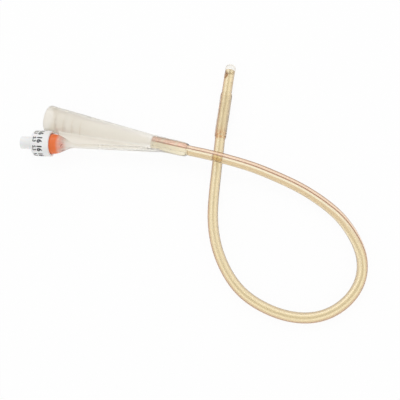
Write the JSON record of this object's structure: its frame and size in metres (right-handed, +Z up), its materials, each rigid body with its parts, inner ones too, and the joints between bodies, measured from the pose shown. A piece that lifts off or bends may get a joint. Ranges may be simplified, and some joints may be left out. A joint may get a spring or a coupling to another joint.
{
  "type": "foley urinary catheter",
  "caption": "Two-way balloon urinary catheter in a loose loop: soft shaft with rounded tip, eyes and retention balloon, flared drainage funnel and a side arm with a luer inflation valve.",
  "frame": {"origin": "on the surface that the catheter lies on, under the middle of the box round the hub moulding and its valve", "axes": "+X along the drainage funnel's axis from its mouth towards the shaft, +Y level and away from the valve, +Z up"},
  "size_m": [0.1936, 0.129, 0.0144],
  "materials": {
    "silicone_milky": "satin, translucent milky silicone",
    "silicone_amber": "glossy, translucent amber silicone with a co-extruded salmon stripe",
    "silicone_balloon": "satin, translucent brown-amber silicone",
    "silicone_clear": "glossy, nearly clear silicone",
    "plastic_white": "satin moulded white plastic, small dark printed digits",
    "plastic_orange": "glossy saturated orange plastic",
    "plastic_stem": "matte moulded plastic",
    "rubber_black": "matte black rubber",
    "spring_steel": "bright drawn wire"
  },
  "bodies": {
    "catheter": {"drain_funnel": "silicone_milky", "shaft_tube": "silicone_amber", "balloon_sleeve": "silicone_balloon", "tip_plug": "silicone_clear", "valve_cap": "plastic_white", "valve_core": "plastic_orange", "valve_spring": "spring_steel"},
    "valve_plunger": {"valve_stem": "plastic_stem", "stem_seal": "rubber_black"}
  },
  "joints": [
    {"name": "valve_press", "type": "slide", "parent": "catheter", "child": "valve_plunger", "axis": [0.9827, 0.1852, 0], "range_m": [0, 0.0012], "stiffness_N_per_m": 400, "springref_m": -0.0008, "deforming": ["valve_spring"]}
  ]
}
